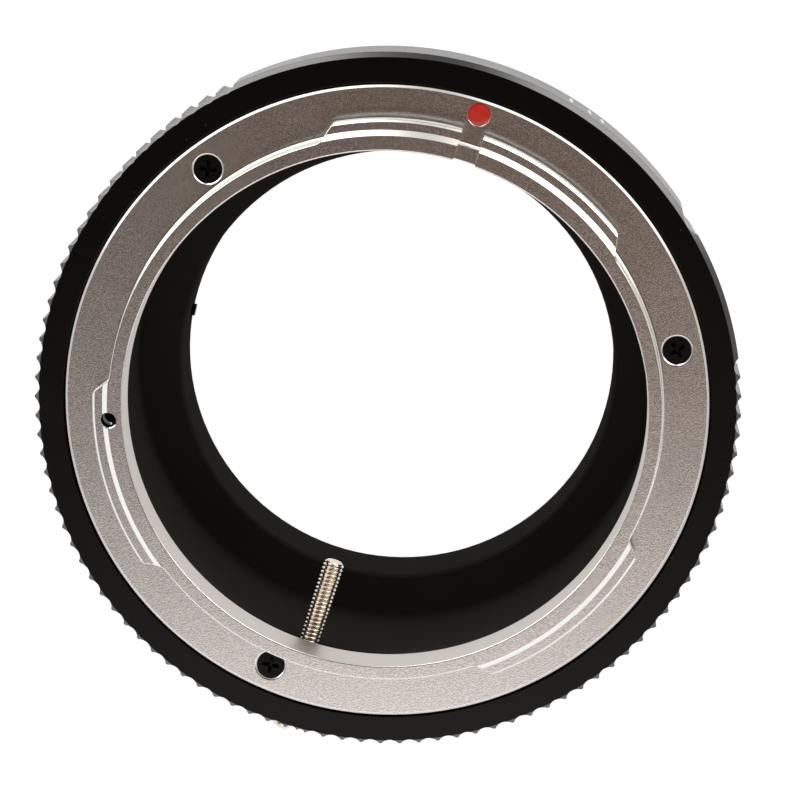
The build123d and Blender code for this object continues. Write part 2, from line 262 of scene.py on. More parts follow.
class Paint:
    """A node tree and the one method that adds any node to it."""

    def __init__(self, owner):
        owner.use_nodes = True
        self.owner = owner
        self.tree = owner.node_tree
        self.tree.nodes.clear()

    @staticmethod
    def pick(sockets, key):
        if isinstance(key, int):
            return sockets[key]
        return next(s for s in sockets if s.enabled and key in (s.name, s.identifier))

    def add(self, kind, inputs=None, output=0, **settings):
        """Adds a node, applies its settings, then the values or links of its sockets."""
        node = self.tree.nodes.new(kind)
        for key, value in settings.items():
            setattr(node, key, value)
        for key, value in (inputs or {}).items():
            socket = self.pick(node.inputs, key)
            if isinstance(value, Wire):
                self.tree.links.new(value.socket, socket)
            else:
                socket.default_value = value
        outputs = [s for s in node.outputs if s.enabled]
        return Wire(self, self.pick(outputs, output)) if outputs else None

    def place(self):
        """The point in the part's own frame, in metres."""
        return self.add("ShaderNodeTexCoord", output="Object")

    def axes(self, place):
        """The x, y and z of a point."""
        node = self.tree.nodes.new("ShaderNodeSeparateXYZ")
        self.tree.links.new(place.socket, node.inputs[0])
        return [Wire(self, s) for s in node.outputs]

    def noise(self, place, size, detail=2.0, roughness=0.5):
        """Noise whose features are about as large as the size, in metres."""
        inputs = {"Vector": place, "Scale": 1.0 / size, "Detail": detail, "Roughness": roughness}
        return self.add("ShaderNodeTexNoise", inputs, output=0)

    def mix(self, factor, first, second):
        """A colour between two others."""
        return self.add("ShaderNodeMix", {"Factor": factor, "A": first, "B": second}, output="Result", data_type="RGBA")

    def bump(self, height, depth, strength=1.0):
        """A normal from a height between 0 and 1 that stands for the depth in metres."""
        return self.add("ShaderNodeBump", {"Height": height, "Distance": depth, "Strength": strength})

    def surface(self, **sockets):
        """Finishes a material with one Principled shader; underscores in a socket's name stand for spaces."""
        inputs = {key.replace("_", " "): value for key, value in sockets.items()}
        shader = self.add("ShaderNodeBsdfPrincipled", inputs)
        self.add("ShaderNodeOutputMaterial", {"Surface": shader})
        return self.owner


# Finishes


def satin_chrome(settings):
    """Bead blasted chrome: a fine grain of lighter and darker dimples, a cloudy roughness and a duller throat."""
    paint = Paint(bpy.data.materials.new("satin_chrome"))
    place = paint.place()
    x, y, z = paint.axes(place)
    grain = paint.noise(place, settings.grain, 1.0, 0.6)
    cloud = paint.noise(place, 3.0 * MM, 3.0)
    pit = [c * 0.84 for c in settings.colour[:3]] + [1.0]
    peak = [min(1.0, c * 1.16) for c in settings.colour[:3]] + [1.0]
    dull = [c * f for c, f in zip(settings.colour, (0.9, 0.855, 0.81, 1.0))]
    outside = ((x * x + y * y) ** 0.5).rise(THROAT_RADIUS, THROAT_RADIUS + 0.06 * MM)
    colour = paint.mix(outside, dull, paint.mix(grain.rise(0.3, 0.7), pit, peak))
    roughness = settings.roughness + 0.2 * (1.0 - outside) + 0.1 * (grain - 0.5) + 0.03 * (cloud - 0.5)
    return paint.surface(
        Base_Color=colour, Metallic=1.0, Roughness=roughness, Normal=paint.bump(grain, settings.relief))


def blasted_wall(settings):
    """The same chrome where the blasting left a wall frosted, so that it scatters light like a matte surface."""
    paint = Paint(bpy.data.materials.new("blasted_wall"))
    grain = paint.noise(paint.place(), settings.grain, 2.0, 0.6)
    pit, peak = ([c * f for c in settings.colour[:3]] + [1.0] for f in (0.52, 0.82))
    colour = paint.mix(grain.rise(0.3, 0.7), pit, peak)
    return paint.surface(
        Base_Color=colour, Roughness=settings.wall + 0.15 * (grain - 0.5), Normal=paint.bump(grain, settings.relief))


def bright_chrome(settings):
    """Turned and polished chrome of the edges, with faint tool lines round the axis."""
    paint = Paint(bpy.data.materials.new("bright_chrome"))
    place = paint.place()
    x, y, z = paint.axes(place)
    lines = paint.noise(paint.add("ShaderNodeCombineXYZ", {0: (x * x + y * y) ** 0.5, 2: z}), 0.03 * MM, 1.0)
    grain = paint.noise(place, settings.grain, 2.0)
    roughness = settings.polish + 0.1 * (grain - 0.5)
    return paint.surface(
        Base_Color=list(settings.colour), Metallic=1.0, Roughness=roughness,
        Normal=paint.bump(lines * 0.3 + grain * 0.7, settings.relief * 0.3))


def ring_black(settings):
    """Black anodising of the turning ring: deep black with a fine bloom, a glossier front chamfer, a few dust specks
    and a row of light ticks on the plain stretch."""
    paint = Paint(bpy.data.materials.new("ring_black"))
    place = paint.place()
    x, y, z = paint.axes(place)
    distance = (x * x + y * y) ** 0.5
    turn = x.maths("ARCTAN2", y, x)
    bloom = paint.noise(place, 0.25 * MM, 4.0, 0.6)
    cloud = paint.noise(place, 6.0 * MM, 2.0)
    tool = paint.noise(paint.add("ShaderNodeCombineXYZ", {0: turn * (4.0 * MM), 1: z}), 0.03 * MM, 2.0)
    specks = paint.add("ShaderNodeTexVoronoi", {"Vector": place, "Scale": 1.0 / (2.2 * MM)}, output="Distance")
    dust = specks < 0.022
    low_z, high_z = RING_FRONT_Z - 4.6 * MM, RING_FRONT_Z - 2.2 * MM
    row = z.band(low_z, high_z, 0.1 * MM) * (distance > RING_RADIUS - 0.1 * MM)
    colour = paint.mix(dust * 0.2, list(settings.colour), (0.35, 0.33, 0.3, 1.0))
    for angle in RING_TICKS:
        tick = row * turn.band(radians(angle - 0.3), radians(angle + 0.3), radians(0.1))
        colour = paint.mix(tick, colour, (0.4, 0.4, 0.38, 1.0))
    chamfer = z.rise(RING_FRONT_Z - RING_FRONT_CHAMFER, RING_FRONT_Z - RING_FRONT_CHAMFER * 0.9)
    chamfer = chamfer * distance.rise(RING_RADIUS - RING_FRONT_CHAMFER, RING_RADIUS - RING_FRONT_CHAMFER * 0.95)
    roughness = 0.24 + 0.1 * (bloom - 0.5) + 0.06 * (cloud - 0.5)
    return paint.surface(
        Base_Color=colour, Roughness=roughness, Specular_IOR_Level=0.21, Coat_Weight=chamfer * 0.8, Coat_Roughness=0.25,
        Normal=paint.bump(bloom * 0.5 + tool * 0.5, 0.004 * MM))


def barrel_black(settings):
    """Glossier black outside and matte black paint in the bore, split by the distance from the axis. Beside the
    chrome the paint is lighter and browner: painted light where light falls into the bore."""
    paint = Paint(bpy.data.materials.new("barrel_black"))
    place = paint.place()
    x, y, z = paint.axes(place)
    outside = ((x * x + y * y) ** 0.5).rise(25.3 * MM, 25.6 * MM)
    fine = paint.noise(place, 0.12 * MM, 3.0, 0.6)
    cloud = paint.noise(place, 5.0 * MM, 3.0)
    # Painted light: over the last 6 mm towards the chrome the paint turns lighter and browner and gets a little coat.
    painted_light = z.rise(FLANGE_BACK_Z - 6.0 * MM, FLANGE_BACK_Z) ** 2.0
    inside = paint.mix(painted_light, list(settings.inside), list(settings.lip))
    colour = paint.mix(outside, inside, list(settings.outside))
    roughness = 0.75 - 0.35 * outside + 0.12 * (fine - 0.5) + 0.08 * (cloud - 0.5)
    return paint.surface(
        Base_Color=colour, Roughness=roughness, Specular_IOR_Level=0.0,
        Coat_Weight=outside * 0.3 + (1.0 - outside) * painted_light * 0.25, Coat_Roughness=0.45,
        Normal=paint.bump(fine, 0.006 * MM))


def bayonet_finish(chrome, barrel):
    """Satin chrome outside, matte black paint in the bore and on the face that looks into the barrel."""
    paint = Paint(bpy.data.materials.new("bayonet_chrome"))
    place = paint.place()
    x, y, z = paint.axes(place)
    distance = (x * x + y * y) ** 0.5
    front = z.rise(BAYONET_FRONT_Z - 0.3 * MM, BAYONET_FRONT_Z - 0.26 * MM)
    bore = 1.0 - distance.rise(21.25 * MM, 21.35 * MM)
    painted = front.maths("MAXIMUM", front, bore)
    lines = paint.noise(paint.add("ShaderNodeCombineXYZ", {0: distance, 2: z}), 0.05 * MM, 2.0)
    fine = paint.noise(place, 0.12 * MM, 3.0, 0.6)
    colour = paint.mix(painted, list(chrome.colour), list(barrel.inside))
    roughness = 0.3 + 0.12 * (lines - 0.5) + 0.45 * painted
    return paint.surface(
        Base_Color=colour, Metallic=1.0 - painted, Roughness=roughness, Specular_IOR_Level=0.0,
        Normal=paint.bump(lines * 0.4 + fine * 0.6, 0.004 * MM))


def nickel(settings):
    """Warm nickel plating with a little tarnish in random patches."""
    paint = Paint(bpy.data.materials.new("nickel"))
    place = paint.place()
    stain = paint.noise(place, 0.5 * MM, 3.0)
    dull = [c * 0.72 for c in settings.colour[:3]] + [1.0]
    colour = paint.mix(stain.rise(0.45, 0.75), list(settings.colour), dull)
    roughness = 0.14 + 0.14 * stain
    return paint.surface(
        Base_Color=colour, Metallic=1.0, Roughness=roughness,
        Normal=paint.bump(paint.noise(place, 0.06 * MM, 2.0), 0.002 * MM))


def black_oxide_and_hole_shade(settings):
    """Black oxide steel with a slight sheen; the lens side also uses it as painted shade in its small hole."""
    paint = Paint(bpy.data.materials.new("black_oxide_and_hole_shade"))
    place = paint.place()
    fine = paint.noise(place, 0.08 * MM, 3.0)
    light = [c * 2.2 for c in settings.colour[:3]] + [1.0]
    colour = paint.mix(fine.rise(0.35, 0.75), list(settings.colour), light)
    return paint.surface(
        Base_Color=colour, Roughness=0.22 + 0.15 * fine, Specular_IOR_Level=0.14, Normal=paint.bump(fine, 0.003 * MM))


def bright_steel(settings):
    """Plain steel of the camera side's screws, brushed by the turning."""
    paint = Paint(bpy.data.materials.new("bright_steel"))
    place = paint.place()
    fine = paint.noise(place, 0.07 * MM, 3.0)
    colour = paint.mix(fine, (0.5, 0.49, 0.47, 1.0), (0.6, 0.59, 0.57, 1.0))
    return paint.surface(Base_Color=colour, Metallic=1.0, Roughness=0.26 + 0.14 * fine, Normal=paint.bump(fine, 0.003 * MM))


def enamel(name, tint):
    """Gloss enamel that settled in a recess, a shade darker in places."""
    paint = Paint(bpy.data.materials.new(name))
    place = paint.place()
    settle = paint.noise(place, 0.7 * MM, 2.0)
    deep = [c * 0.8 for c in tint[:3]] + [1.0]
    colour = paint.mix(settle.rise(0.35, 0.7), list(tint), deep)
    return paint.surface(
        Base_Color=colour, Roughness=0.3 + 0.08 * settle, Coat_Weight=0.4, Coat_Roughness=0.15,
        Normal=paint.bump(settle, 0.004 * MM))


# Surfaces


def grid_faces(columns, rows, round_columns=True, round_rows=True):
    """Four-sided faces of a grid stored column by column, closed on itself in either direction."""
    i, j = np.meshgrid(
        np.arange(columns if round_columns else columns - 1), np.arange(rows if round_rows else rows - 1),
        indexing="ij")
    next_i = (i + 1) % columns
    next_j = (j + 1) % rows
    corners = (i * rows + j, next_i * rows + j, next_i * rows + next_j, i * rows + next_j)
    return np.stack(corners, -1).reshape(-1, 4)


def turned(angles, radii, heights):
    """A profile carried round the axis: columns at the angles, each with its radii and heights as rows."""
    angles = np.asarray(angles, float)[:, None]
    radii, heights, angles = np.broadcast_arrays(np.atleast_2d(radii), np.atleast_2d(heights), angles)
    return np.stack([radii * np.cos(angles), radii * np.sin(angles), heights], -1)


def even_angles(count):
    """Angles spread evenly round the axis."""
    return np.arange(count) * (2 * np.pi / count)


def new_piece(name, points, faces):
    """An object at the origin from points and faces, with doubled points merged and faces turned outwards."""
    mesh = bpy.data.meshes.new(name)
    mesh.from_pydata(np.reshape(points, (-1, 3)).tolist(), [], faces.tolist())
    work = bmesh.new()
    work.from_mesh(mesh)
    bmesh.ops.remove_doubles(work, verts=work.verts, dist=0.001 * MM)
    bmesh.ops.dissolve_degenerate(work, edges=work.edges, dist=0.0005 * MM)
    bmesh.ops.recalc_face_normals(work, faces=work.faces)
    work.to_mesh(mesh)
    work.free()
    piece = bpy.data.objects.new(name, mesh)
    bpy.context.scene.collection.objects.link(piece)
    return piece


def joined(*shapes):
    """Several (points, faces) shapes as one."""
    points = [np.reshape(p, (-1, 3)) for p, _ in shapes]
    starts = np.cumsum([0] + [len(p) for p in points[:-1]])
    faces = [f + s for (_, f), s in zip(shapes, starts)]
    return np.concatenate(points), np.concatenate(faces)


def bake_modifiers(piece):
    """Replaces a piece's mesh by what its modifiers make of it."""
    bpy.context.view_layer.update()
    evaluated = piece.evaluated_get(bpy.context.evaluated_depsgraph_get())
    mesh = bpy.data.meshes.new_from_object(evaluated)
    piece.modifiers.clear()
    piece.data = mesh


def cut(piece, cutter):
    """Takes a closed shape out of a piece and removes the cutter."""
    modifier = piece.modifiers.new("cut", "BOOLEAN")
    modifier.operation = "DIFFERENCE"
    modifier.solver = "EXACT"
    modifier.object = cutter
    bake_modifiers(piece)
    bpy.data.objects.remove(cutter)


def break_edges(piece, width, material, limit=radians(28)):
    """Gives every sharp edge a small round of the given width, in the material slot of that number."""
    modifier = piece.modifiers.new("edges", "BEVEL")
    modifier.width = width
    modifier.segments = 3
    modifier.limit_method = "ANGLE"
    modifier.angle_limit = limit
    modifier.material = material
    bake_modifiers(piece)


def shade_by_area(piece):
    """Smooth shading in which a point's normal is the sum of its faces' normals, each times its area squared, so that
    flats stay flat up to their small rounded edges."""
    mesh = piece.data
    mesh.shade_smooth()
    faces, corners = len(mesh.polygons), len(mesh.loops)
    normal, area, size = np.zeros(faces * 3), np.zeros(faces), np.zeros(faces, np.int32)
    point = np.zeros(corners, np.int32)
    mesh.polygons.foreach_get("normal", normal)
    mesh.polygons.foreach_get("area", area)
    mesh.polygons.foreach_get("loop_total", size)
    mesh.loops.foreach_get("vertex_index", point)
    weighted = normal.reshape(-1, 3) * ((area / MM ** 2) ** 2)[:, None]
    total = np.zeros((len(mesh.vertices), 3))
    np.add.at(total, point, np.repeat(weighted, size, axis=0))
    length = np.linalg.norm(total, axis=1, keepdims=True)
    mesh.normals_split_custom_set_from_vertices((total / np.maximum(length, 1e-30)).tolist())


def shade(piece, limit=radians(35)):
    """Smooth shading with edges sharper than the limit kept sharp."""
    piece.data.shade_smooth()
    piece.data.set_sharp_from_angle(angle=limit)


def settle(piece, body, slot, materials, replaced=()):
    """Gives a finished piece its materials, its body and the solids it stands for. The slot is not used."""
    while len(piece.data.materials) < len(materials):
        piece.data.materials.append(None)
    for index, material in enumerate(materials):
        piece.data.materials[index] = material
    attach(piece, body)
    if replaced:
        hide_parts(*replaced)


def dress(node, material):
    """Gives a solid that is shown as it is its material."""
    mesh = frame["nodes"][node].data
    mesh.materials.clear()
    mesh.materials.append(material)


# Lens side

NECK_RADIUS = 25.3 * MM
NECK_FOOT = 0.35 * MM
TAB_RADIUS = 26.8 * MM
TAB_UNDER_Z = LENS_SEAT_Z - 1.7 * MM
TAB_FACE_Z = LENS_SEAT_Z - 0.4 * MM
FLANGE_FRONT_Z = LENS_SEAT_Z - 2.7 * MM
FLANGE_EDGE = ((0.31, 0.0), (0.25, 0.012), (0.06, 0.12), (0.0, 0.19))
THROAT_ROUND = 0.13 * MM
TABS = ((86.4, 61.5, 68.0), (212.2, 36.2, 41.8), (328.3, 37.4, 42.7))
SLOT_WIDTH = 2.05 * MM
LENS_SCREWS = (29.2, 143.8, 263.9)
LENS_SCREW_DISTANCE = 27.15 * MM
CAMERA_SCREWS = (55.0, 125.0, 235.0, 305.0)
CAMERA_SCREW_DISTANCE = 26.7 * MM
COUNTERSINK = 1.42 * MM
HEAD_RADIUS = 1.32 * MM
SHANK_RADIUS = 0.8 * MM
DOT_DISTANCE = 28.28 * MM
DOT_RADIUS = 1.03 * MM
DOT_RECESS = 1.05 * MM
DOT_DEPTH = 0.3 * MM
PIN_HOLE = (25.3 * MM, -160.3, 0.72 * MM)
SEGMENTS = 64


def soft_clip(value, root, tip):
    """Clips to 0 and 1 with a parabola at both corners, of the half widths root and tip."""
    def corner(v, width):
        return np.where(v < -width, 0.0, np.where(v > width, v, (v + width) ** 2 / (4 * width)))
    return 1.0 - corner(1.0 - corner(value, root), tip)


def tab_lift(angles):
    """0 on the neck, 1 on the tabs: each tab is a ramp up over its slanted end, a plateau and a ramp down."""
    lift = np.zeros_like(angles)
    for middle, tip, root in TABS:
        offset = np.abs((angles - radians(middle) + np.pi) % (2 * np.pi) - np.pi)
        lift = np.maximum(lift, soft_clip((radians(root / 2) - offset) / radians((root - tip) / 2), 0.36, 0.18))
    return lift


def tab_top(radius):
    """Height of the collar and tabs by the distance from the axis: seat, cone, tab and edge chamfer."""
    return LENS_SEAT_Z + np.interp(radius / MM, [25.36, 25.86, 26.56, 26.96], np.array([0.0, -0.4, -0.4, -0.8])) * MM


def lens_face_angles():
    """Columns round the lens side, close together over the ends of the tabs."""
    ends = [middle + side * (tip + root) / 4 for middle, tip, root in TABS for side in (-1, 1)]
    fine = np.concatenate([np.linspace(end - 3.2, end + 3.2, 49) for end in ends])
    return np.radians(np.unique(np.round(np.concatenate([np.arange(0, 360, 1.0), fine % 360]), 3)))


def lens_face_shape():
    """A closed section carried round the axis. From the rounded throat edge it follows tab_top out to the outline of
    neck and tabs, turns over a small round, and drops to the tab's underside, the neck, its rounded foot and the
    flange, whose edge falls off over FLANGE_EDGE."""
    angles = lens_face_angles()
    lift = tab_lift(angles)[:, None]
    outline = NECK_RADIUS + (TAB_RADIUS - NECK_RADIUS) * lift
    edge = np.interp(lift, [0.0, 0.1, 0.9, 1.0], np.array([0.13, 0.1, 0.1, 0.06])) * MM
    ones = np.ones_like(outline)
    arc = np.radians([0.0, 22.5, 45.0, 67.5, 90.0])
    throat = (THROAT_RADIUS + THROAT_ROUND * (1 - np.cos(arc[:-1]))) * ones
    top = np.minimum(np.array([24.13, 24.7, 25.36, 25.61, 25.86, 26.2, 26.56, 26.68]) * MM, outline - edge)
    over = outline - edge + edge * np.sin(arc)
    foot = (NECK_RADIUS + NECK_FOOT * (1 - np.cos(arc))) * ones
    radii = [throat, top, over, outline, NECK_RADIUS * ones, foot]
    heights = [
        (LENS_SEAT_Z - THROAT_ROUND * (1 - np.sin(arc[:-1]))) * ones, tab_top(top),
        tab_top(outline - edge) - edge * (1 - np.cos(arc)), TAB_UNDER_Z * ones, TAB_UNDER_Z * ones,
        (FLANGE_FRONT_Z + NECK_FOOT * (1 - np.sin(arc))) * ones]
    rim = [(FLANGE_RADIUS - inset * MM, FLANGE_FRONT_Z - drop * MM) for inset, drop in FLANGE_EDGE]
    for radius, height in (*rim, (FLANGE_RADIUS, FLANGE_BACK_Z), (THROAT_RADIUS, FLANGE_BACK_Z)):
        radii.append(radius * ones)
        heights.append(height * ones)
    radii, heights = np.concatenate(radii, 1), np.concatenate(heights, 1)
    return turned(angles, radii, heights), grid_faces(*radii.shape)


def capped_turn(radii, heights, middle=(0.0, 0.0), segments=SEGMENTS):
    """A solid of revolution about a vertical line, closed by points on that line at both ends."""
    points = turned(even_angles(segments), np.array(radii), np.array(heights))
    points[..., 0] += middle[0]
    points[..., 1] += middle[1]
    return points, grid_faces(segments, len(radii), True, False)


def on_circle(distance, degrees):
    """A point in the plan at a distance and an angle."""
    return distance * np.cos(np.radians(degrees)), distance * np.sin(np.radians(degrees))


def box_shape(low, high):
    """A box from its corners."""
    unit = np.stack(np.meshgrid([0, 1], [0, 1], [0, 1], indexing="ij"), -1).reshape(-1, 3)
    faces = np.array([[0, 1, 3, 2], [4, 6, 7, 5], [0, 4, 5, 1], [2, 3, 7, 6], [0, 2, 6, 4], [1, 5, 7, 3]])
    return np.array(low) + unit * (np.array(high) - np.array(low)), faces


def lens_face_cuts():
    """Everything taken out of the lens side: countersinks, dot recess, small hole and slot."""
    over = 0.2 * MM
    cuts = []
    for angle in LENS_SCREWS:
        middle = on_circle(LENS_SCREW_DISTANCE, angle)
        low = FLANGE_FRONT_Z - (COUNTERSINK - SHANK_RADIUS)
        rim = COUNTERSINK + np.array([-0.06, -0.025, 0.025]) * MM
        round_off = FLANGE_FRONT_Z + np.array([-0.06, -0.033, -0.009]) * MM
        cuts.append(capped_turn(
            [0, SHANK_RADIUS, SHANK_RADIUS, *rim, COUNTERSINK + 0.09 * MM, COUNTERSINK + 0.09 * MM, 0],
            [*[FLANGE_BACK_Z + over] * 2, low, *round_off, FLANGE_FRONT_Z + 0.005 * MM, *[FLANGE_FRONT_Z + over] * 2],
            middle))
    distance, angle, radius = PIN_HOLE
    for hole, bottom, face, top, wide, middle in (
            (DOT_RECESS, FLANGE_FRONT_Z - DOT_DEPTH, FLANGE_FRONT_Z, FLANGE_FRONT_Z, 0.02 * MM, on_circle(DOT_DISTANCE, 90)),
            (radius, FLANGE_FRONT_Z - over, TAB_FACE_Z, LENS_SEAT_Z, 0.05 * MM, on_circle(distance, angle))):
        cuts.append(capped_turn(
            [0, hole, hole, hole + wide, hole + wide, 0],
            [bottom, bottom, face - wide, face + 0.002 * MM, top + over, top + over], middle))
    cuts.append(box_shape(
        (-SLOT_WIDTH / 2, THROAT_RADIUS - 1 * MM, TAB_UNDER_Z), (SLOT_WIDTH / 2, TAB_RADIUS + 0.5 * MM, LENS_SEAT_Z + over)))
    return joined(*cuts)


def lens_face_slots(mesh):
    """Material number of every face: 0 satin flats, 1 bright slopes, 2 blasted walls, 3 the small hole's inside below
    the tab face, painted shade in black oxide.
    """
    count = len(mesh.polygons)
    normals, middles = np.zeros(count * 3), np.zeros(count * 3)
    mesh.polygons.foreach_get("normal", normals)
    mesh.polygons.foreach_get("center", middles)
    slope = normals.reshape(-1, 3)[:, 2]
    x, y, z = middles.reshape(-1, 3).T
    throat = np.hypot(x, y) < THROAT_RADIUS + THROAT_ROUND
    wall = (slope < 0.25) & (z > FLANGE_FRONT_Z) & ~throat
    hole_x, hole_y = on_circle(*PIN_HOLE[:2])
    hole = np.hypot(x - hole_x, y - hole_y) < PIN_HOLE[2] + 0.01 * MM
    slots = np.where(wall, 2, np.where((slope > 0.25) & (slope < 0.97) & ~throat, 1, 0))
    # Painted shade: the small hole's walls and end below the tab face take the black oxide finish, so the hole reads
    # dark.
    return np.where(hole & (z < TAB_FACE_Z - 0.09 * MM), 3, slots).astype(np.int32)


class ADAPTER_OT_lens_side(bpy.types.Operator):
    """Make the chromed lens mount ring"""

    bl_idname = "adapter.lens_side"
    bl_label = "Lens side"

    def execute(self, context):
        settings = context.scene.adapter_chrome
        piece = new_piece("lens_side_chrome", *lens_face_shape())
        cut(piece, new_piece("lens_side_cuts", *lens_face_cuts()))
        finishes = (
            satin_chrome(settings), bright_chrome(settings), blasted_wall(settings),
            # The black oxide here is also painted shade for the small hole.
            black_oxide_and_hole_shade(context.scene.adapter_screws))
        for finish in finishes:
            piece.data.materials.append(finish)
        piece.data.polygons.foreach_set("material_index", lens_face_slots(piece.data))
        break_edges(piece, settings.edge, 1)
        shade_by_area(piece)
        settle(piece, "barrel", "satin_chrome", finishes, ("lens_mount_ring",))
        return {"FINISHED"}


# Turning ring

FIRST_GROOVE = 133.74
FIRST_RUN = 43
SECOND_RUN = 35
MEETING_GROOVES = ((271.33, 0.54, 0.45), (272.93, 0.38, 0.35))
SCOOP = (49.4, 2.6, 0.4)
RELIEF = (25.0, 48.5, 0.3, 1.2)
RING_FRONT_CHAMFER = 0.45 * MM
RING_REAR_CHAMFER = 0.1 * MM
RING_BORE = 28.8 * MM
RING_FRONT_BORE = FLANGE_RADIUS + 0.13 * MM
RING_LIP_Z = FLANGE_BACK_Z - 0.15 * MM


def groove_list(settings):
    """Angle, radius and depth of every groove of the knurl and of the scoop."""
    pitch = 360.0 / settings.positions
    second = FIRST_GROOVE + (FIRST_RUN + 1) * pitch
    angles = np.concatenate([FIRST_GROOVE + pitch * np.arange(FIRST_RUN), second + pitch * np.arange(SECOND_RUN)])
    plain = np.stack([angles, np.full_like(angles, settings.groove), np.full_like(angles, settings.depth)], 1)
    others = np.array([(a, r * MM, d * MM) for a, r, d in (*MEETING_GROOVES, SCOOP)])
    return np.concatenate([plain, others])


def groove_half_angle(radius, depth):
    """Half of the angle that a round groove takes of the ring's crest."""
    centre = RING_RADIUS + radius - depth
    return np.arccos((RING_RADIUS ** 2 + centre ** 2 - radius ** 2) / (2 * RING_RADIUS * centre))


def crest_radius(angles, grooves):
    """Outer radius by angle: the crest, or the near side of the groove's circle where one is cut."""
    offset = angles[:, None] - np.radians(grooves[None, :, 0])
    offset = (offset + np.pi) % (2 * np.pi) - np.pi
    centre = RING_RADIUS + grooves[None, :, 1] - grooves[None, :, 2]
    inside = grooves[None, :, 1] ** 2 - (centre * np.sin(offset)) ** 2
    near = centre * np.cos(offset) - np.sqrt(np.maximum(inside, 0.0))
    hit = (inside > 0) & (np.abs(offset) < 0.3)
    return np.minimum(RING_RADIUS, np.where(hit, near, RING_RADIUS).min(1))


def ring_shape(settings):
    """A closed section carried round the axis. The crease of the front chamfer runs where the cone meets the
    grooves, so its height follows the crest's radius, and a relief lowers part of the second plain stretch."""
    grooves = groove_list(settings)
    half = groove_half_angle(grooves[:, 1], grooves[:, 2])
    across = np.sin(np.linspace(-0.5, 0.5, 13) * np.pi)
    angles = (np.radians(grooves[:, 0])[:, None] + half[:, None] * across).ravel()
    low, high, lower, lip = RELIEF
    edges = np.radians([low - 0.01, low + 0.01, high - 0.01, high + 0.01])
    angles = np.concatenate([angles, np.radians(np.arange(0, 360, 1.5)), edges]) % (2 * np.pi)
    angles = np.unique(np.round(angles, 6))
    crest = crest_radius(angles, grooves)[:, None]
    relieved = ((angles > radians(low)) & (angles < radians(high)))[:, None]
    back = np.where(relieved, np.minimum(crest, RING_RADIUS - lower * MM), crest)
    ones = np.ones_like(crest)
    step_z = RING_FRONT_Z - lip * MM
    front_radius = np.minimum(crest, RING_RADIUS - RING_FRONT_CHAMFER)
    rear_radius = np.minimum(back, RING_RADIUS - RING_REAR_CHAMFER)
    crease_z = RING_FRONT_Z - (crest - front_radius)
    inner_edge = 0.06 * MM
    section = [
        (RING_BORE * ones, RING_REAR_Z * ones),
        (rear_radius, RING_REAR_Z * ones),
        (back, RING_REAR_Z + (back - rear_radius)),
        (back, (step_z - 0.01 * MM) * ones),
        (crest, (step_z + 0.01 * MM) * ones),
        (crest, crease_z),
        (front_radius, RING_FRONT_Z * ones),
        ((RING_FRONT_BORE + inner_edge) * ones, RING_FRONT_Z * ones),
        (RING_FRONT_BORE * ones, (RING_FRONT_Z - inner_edge) * ones),
        (RING_FRONT_BORE * ones, RING_LIP_Z * ones),
        (RING_BORE * ones, RING_LIP_Z * ones),
    ]
    radii = np.concatenate([r for r, _ in section], 1)
    heights = np.concatenate([h for _, h in section], 1)
    return turned(angles, radii, heights), grid_faces(*radii.shape)


class ADAPTER_OT_turning_ring(bpy.types.Operator):
    """Make the knurled turning ring"""

    bl_idname = "adapter.turning_ring"
    bl_label = "Turning ring"

    def execute(self, context):
        settings = context.scene.adapter_ring
        piece = new_piece("knurled_ring", *ring_shape(settings))
        shade(piece, radians(25))
        settle(piece, "turning_ring", "black_ring", (ring_black(settings),), ("aperture_ring",))
        return {"FINISHED"}


# Stud

STUD_ANGLE = -90.3
STUD_TIP = 16.7 * MM
STUD_END = 34.0 * MM
STUD_THREAD_END = 30.0 * MM


def stud_shape(settings):
    """A helix thread: the radius at a turn and a length follows a triangle wave of length over pitch less turn.
    The thread fades at the chamfered tip and before the domed outer end."""
    turn = even_angles(40)[:, None]
    length = np.arange(STUD_TIP, STUD_END, settings.pitch / 14)[None, :]
    phase = (length / settings.pitch - turn / (2 * np.pi)) % 1.0
    wave = np.clip(1.25 * np.abs(2 * phase - 1) - 0.12, 0, 1)
    threaded = np.clip((STUD_THREAD_END - length) / (0.5 * MM), 0, 1)
    radius = STUD_RADIUS - settings.thread * wave * threaded
    tip = STUD_RADIUS - 0.24 * MM + (length - STUD_TIP)
    dome_depth = 0.6 * MM
    dome = np.clip((length - STUD_END + dome_depth) / dome_depth, 0, 1)
    radius = np.minimum(radius, tip) * np.sqrt(np.maximum(1 - dome ** 2, 0))
    length, turn = np.broadcast_arrays(length, turn)
    ends = np.zeros((len(radius), 1))
    radius = np.concatenate([ends, radius, ends], 1)
    length = np.concatenate([ends + STUD_TIP, length, ends + STUD_END], 1)
    turn = np.concatenate([turn[:, :1], turn, turn[:, :1]], 1)
    heading = radians(STUD_ANGLE)
    along = np.array([np.cos(heading), np.sin(heading), 0.0])
    side = np.array([-np.sin(heading), np.cos(heading), 0.0])
    up = np.array([0.0, 0.0, 1.0])
    points = (
        length[..., None] * along + (radius * np.cos(turn))[..., None] * side
        + (radius * np.sin(turn))[..., None] * up + STUD_Z * up)
    return points, grid_faces(*radius.shape, True, False)


class ADAPTER_OT_stud(bpy.types.Operator):
    """Make the threaded stud of the turning ring"""

    bl_idname = "adapter.stud"
    bl_label = "Stud"

    def execute(self, context):
        settings = context.scene.adapter_stud
        piece = new_piece("threaded_stud", *stud_shape(settings))
        shade(piece, radians(40))
        settle(piece, "turning_ring", "nickel", (nickel(settings),), ("aperture_pin",))
        return {"FINISHED"}


# Screws


